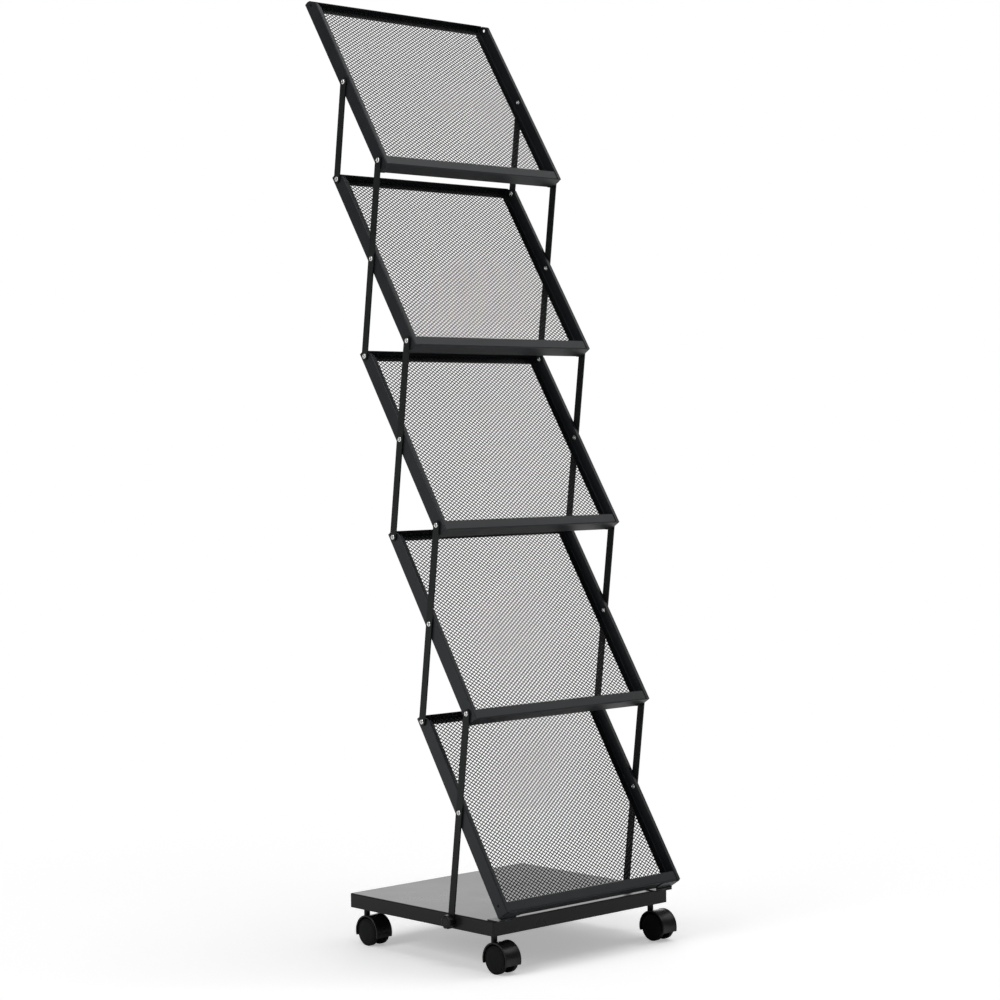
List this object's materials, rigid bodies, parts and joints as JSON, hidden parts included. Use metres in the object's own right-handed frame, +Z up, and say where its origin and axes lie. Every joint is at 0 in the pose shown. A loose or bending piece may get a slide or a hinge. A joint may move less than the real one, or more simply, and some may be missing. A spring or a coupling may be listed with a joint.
{
  "type": "newspaper rack",
  "caption": "Folding newspaper rack: tilted mesh-backed trays on lazy-tongs links above a low base on twin-wheel castors.",
  "frame": {"origin": "centre of the bounding box, on the floor", "axes": "+Z up, +X to the rack's right as seen from the front, +Y to the back; trays face -Y"},
  "size_m": [0.467, 0.5228, 1.7477],
  "materials": {
    "tray_black": "satin black powder coat",
    "link_black": "satin black powder coat",
    "base_black": "satin black powder coat, smoother on the deck",
    "mesh_black": "satin black powder coat",
    "rivet_zinc": "bright zinc plate",
    "zinc_steel": "dull zinc plate",
    "knob_plastic": "moulded black plastic",
    "castor_hood": "semi-gloss black nylon",
    "castor_wheel": "matt black nylon"
  },
  "bodies": {
    "base": {"base_pan": "base_black", "castor_sockets": "tray_black", "castor_stems": "zinc_steel", "base_hinge_leaves": "tray_black", "hinge_pins": "zinc_steel", "knob_nuts": "zinc_steel"},
    "knob_left": {"knob_left": "knob_plastic"},
    "knob_right": {"knob_right": "knob_plastic"},
    "tray_1": {"tray_1_left_side": "tray_black", "tray_1_right_side": "tray_black", "tray_1_front_lip": "tray_black", "tray_1_top_bar": "tray_black", "tray_1_mesh": "mesh_black", "tray_1_rivets": "rivet_zinc"},
    "links_1": {"links_1": "link_black"},
    "tray_2": {"tray_2_left_side": "tray_black", "tray_2_right_side": "tray_black", "tray_2_front_lip": "tray_black", "tray_2_top_bar": "tray_black", "tray_2_mesh": "mesh_black", "tray_2_rivets": "rivet_zinc"},
    "links_2": {"links_2": "link_black"},
    "tray_3": {"tray_3_left_side": "tray_black", "tray_3_right_side": "tray_black", "tray_3_front_lip": "tray_black", "tray_3_top_bar": "tray_black", "tray_3_mesh": "mesh_black", "tray_3_rivets": "rivet_zinc"},
    "links_3": {"links_3": "link_black"},
    "tray_4": {"tray_4_left_side": "tray_black", "tray_4_right_side": "tray_black", "tray_4_front_lip": "tray_black", "tray_4_top_bar": "tray_black", "tray_4_mesh": "mesh_black", "tray_4_rivets": "rivet_zinc"},
    "links_4": {"links_4": "link_black"},
    "tray_5": {"tray_5_left_side": "tray_black", "tray_5_right_side": "tray_black", "tray_5_front_lip": "tray_black", "tray_5_top_bar": "tray_black", "tray_5_mesh": "mesh_black", "tray_5_rivets": "rivet_zinc", "tray_hinge_leaves": "tray_black"},
    "links_5": {"links_5": "link_black"},
    "castor_front_left": {"castor_front_left_hood": "castor_hood", "castor_front_left_axle": "zinc_steel"},
    "castor_front_left_left_wheel": {"castor_front_left_left_wheel": "castor_wheel"},
    "castor_front_left_right_wheel": {"castor_front_left_right_wheel": "castor_wheel"},
    "castor_front_right": {"castor_front_right_hood": "castor_hood", "castor_front_right_axle": "zinc_steel"},
    "castor_front_right_left_wheel": {"castor_front_right_left_wheel": "castor_wheel"},
    "castor_front_right_right_wheel": {"castor_front_right_right_wheel": "castor_wheel"},
    "castor_rear_left": {"castor_rear_left_hood": "castor_hood", "castor_rear_left_axle": "zinc_steel"},
    "castor_rear_left_left_wheel": {"castor_rear_left_left_wheel": "castor_wheel"},
    "castor_rear_left_right_wheel": {"castor_rear_left_right_wheel": "castor_wheel"},
    "castor_rear_right": {"castor_rear_right_hood": "castor_hood", "castor_rear_right_axle": "zinc_steel"},
    "castor_rear_right_left_wheel": {"castor_rear_right_left_wheel": "castor_wheel"},
    "castor_rear_right_right_wheel": {"castor_rear_right_right_wheel": "castor_wheel"}
  },
  "joints": [
    {"name": "fold", "type": "hinge", "parent": "base", "child": "tray_5", "pos_m": [0, -0.23903, 0.0974], "axis": [1, 0, 0], "range_deg": [-52.8, 0]},
    {"name": "tray_5_middle_pivot", "type": "hinge", "parent": "tray_5", "child": "links_5", "pos_m": [0, -0.14318, 0.27399], "axis": [1, 0, 0], "range_deg": [0, 130.5]},
    {"name": "tray_4_bottom_pivot", "type": "hinge", "parent": "links_5", "child": "tray_4", "pos_m": [0, -0.16629, 0.44948], "axis": [1, 0, 0], "range_deg": [-130.5, 0]},
    {"name": "tray_4_middle_pivot", "type": "hinge", "parent": "tray_4", "child": "links_4", "pos_m": [0, -0.07037, 0.60179], "axis": [1, 0, 0], "range_deg": [0, 130.5]},
    {"name": "tray_3_bottom_pivot", "type": "hinge", "parent": "links_4", "child": "tray_3", "pos_m": [0, -0.09347, 0.77728], "axis": [1, 0, 0], "range_deg": [-130.5, 0]},
    {"name": "tray_3_middle_pivot", "type": "hinge", "parent": "tray_3", "child": "links_3", "pos_m": [0, 0.00245, 0.92959], "axis": [1, 0, 0], "range_deg": [0, 130.5]},
    {"name": "tray_2_bottom_pivot", "type": "hinge", "parent": "links_3", "child": "tray_2", "pos_m": [0, -0.02066, 1.10508], "axis": [1, 0, 0], "range_deg": [-130.5, 0]},
    {"name": "tray_2_middle_pivot", "type": "hinge", "parent": "tray_2", "child": "links_2", "pos_m": [0, 0.07526, 1.25739], "axis": [1, 0, 0], "range_deg": [0, 130.5]},
    {"name": "tray_1_bottom_pivot", "type": "hinge", "parent": "links_2", "child": "tray_1", "pos_m": [0, 0.05216, 1.43288], "axis": [1, 0, 0], "range_deg": [-130.5, 0]},
    {"name": "tray_1_middle_pivot", "type": "hinge", "parent": "tray_1", "child": "links_1", "pos_m": [0, 0.14807, 1.58519], "axis": [1, 0, 0], "range_deg": [0, 130.5]},
    {"name": "knob_left_loosen", "type": "slide", "parent": "base", "child": "knob_left", "axis": [-1, 0, 0], "range_m": [0, 0.003]},
    {"name": "knob_right_loosen", "type": "slide", "parent": "base", "child": "knob_right", "axis": [1, 0, 0], "range_m": [0, 0.003]},
    {"name": "castor_front_left_swivel", "type": "hinge", "parent": "base", "child": "castor_front_left", "pos_m": [-0.196, -0.20373, 0], "axis": [0, 0, 1], "continuous": true},
    {"name": "castor_front_left_left_roll", "type": "hinge", "parent": "castor_front_left", "child": "castor_front_left_left_wheel", "pos_m": [-0.196, -0.22273, 0.025], "axis": [1, 0, 0], "continuous": true},
    {"name": "castor_front_left_right_roll", "type": "hinge", "parent": "castor_front_left", "child": "castor_front_left_right_wheel", "pos_m": [-0.196, -0.22273, 0.025], "axis": [1, 0, 0], "continuous": true},
    {"name": "castor_front_right_swivel", "type": "hinge", "parent": "base", "child": "castor_front_right", "pos_m": [0.196, -0.20373, 0], "axis": [0, 0, 1], "continuous": true},
    {"name": "castor_front_right_left_roll", "type": "hinge", "parent": "castor_front_right", "child": "castor_front_right_left_wheel", "pos_m": [0.196, -0.22273, 0.025], "axis": [1, 0, 0], "continuous": true},
    {"name": "castor_front_right_right_roll", "type": "hinge", "parent": "castor_front_right", "child": "castor_front_right_right_wheel", "pos_m": [0.196, -0.22273, 0.025], "axis": [1, 0, 0], "continuous": true},
    {"name": "castor_rear_left_swivel", "type": "hinge", "parent": "base", "child": "castor_rear_left", "pos_m": [-0.196, 0.14427, 0], "axis": [0, 0, 1], "continuous": true},
    {"name": "castor_rear_left_left_roll", "type": "hinge", "parent": "castor_rear_left", "child": "castor_rear_left_left_wheel", "pos_m": [-0.196, 0.12527, 0.025], "axis": [1, 0, 0], "continuous": true},
    {"name": "castor_rear_left_right_roll", "type": "hinge", "parent": "castor_rear_left", "child": "castor_rear_left_right_wheel", "pos_m": [-0.196, 0.12527, 0.025], "axis": [1, 0, 0], "continuous": true},
    {"name": "castor_rear_right_swivel", "type": "hinge", "parent": "base", "child": "castor_rear_right", "pos_m": [0.196, 0.14427, 0], "axis": [0, 0, 1], "continuous": true},
    {"name": "castor_rear_right_left_roll", "type": "hinge", "parent": "castor_rear_right", "child": "castor_rear_right_left_wheel", "pos_m": [0.196, 0.12527, 0.025], "axis": [1, 0, 0], "continuous": true},
    {"name": "castor_rear_right_right_roll", "type": "hinge", "parent": "castor_rear_right", "child": "castor_rear_right_right_wheel", "pos_m": [0.196, 0.12527, 0.025], "axis": [1, 0, 0], "continuous": true}
  ],
  "couplings": [
    {"joint": "tray_5_middle_pivot", "follows": "fold", "ratio": -2.4678},
    {"joint": "tray_4_bottom_pivot", "follows": "fold", "ratio": 2.4678},
    {"joint": "tray_4_middle_pivot", "follows": "fold", "ratio": -2.4678},
    {"joint": "tray_3_bottom_pivot", "follows": "fold", "ratio": 2.4678},
    {"joint": "tray_3_middle_pivot", "follows": "fold", "ratio": -2.4678},
    {"joint": "tray_2_bottom_pivot", "follows": "fold", "ratio": 2.4678},
    {"joint": "tray_2_middle_pivot", "follows": "fold", "ratio": -2.4678},
    {"joint": "tray_1_bottom_pivot", "follows": "fold", "ratio": 2.4678},
    {"joint": "tray_1_middle_pivot", "follows": "fold", "ratio": -2.4678}
  ]
}
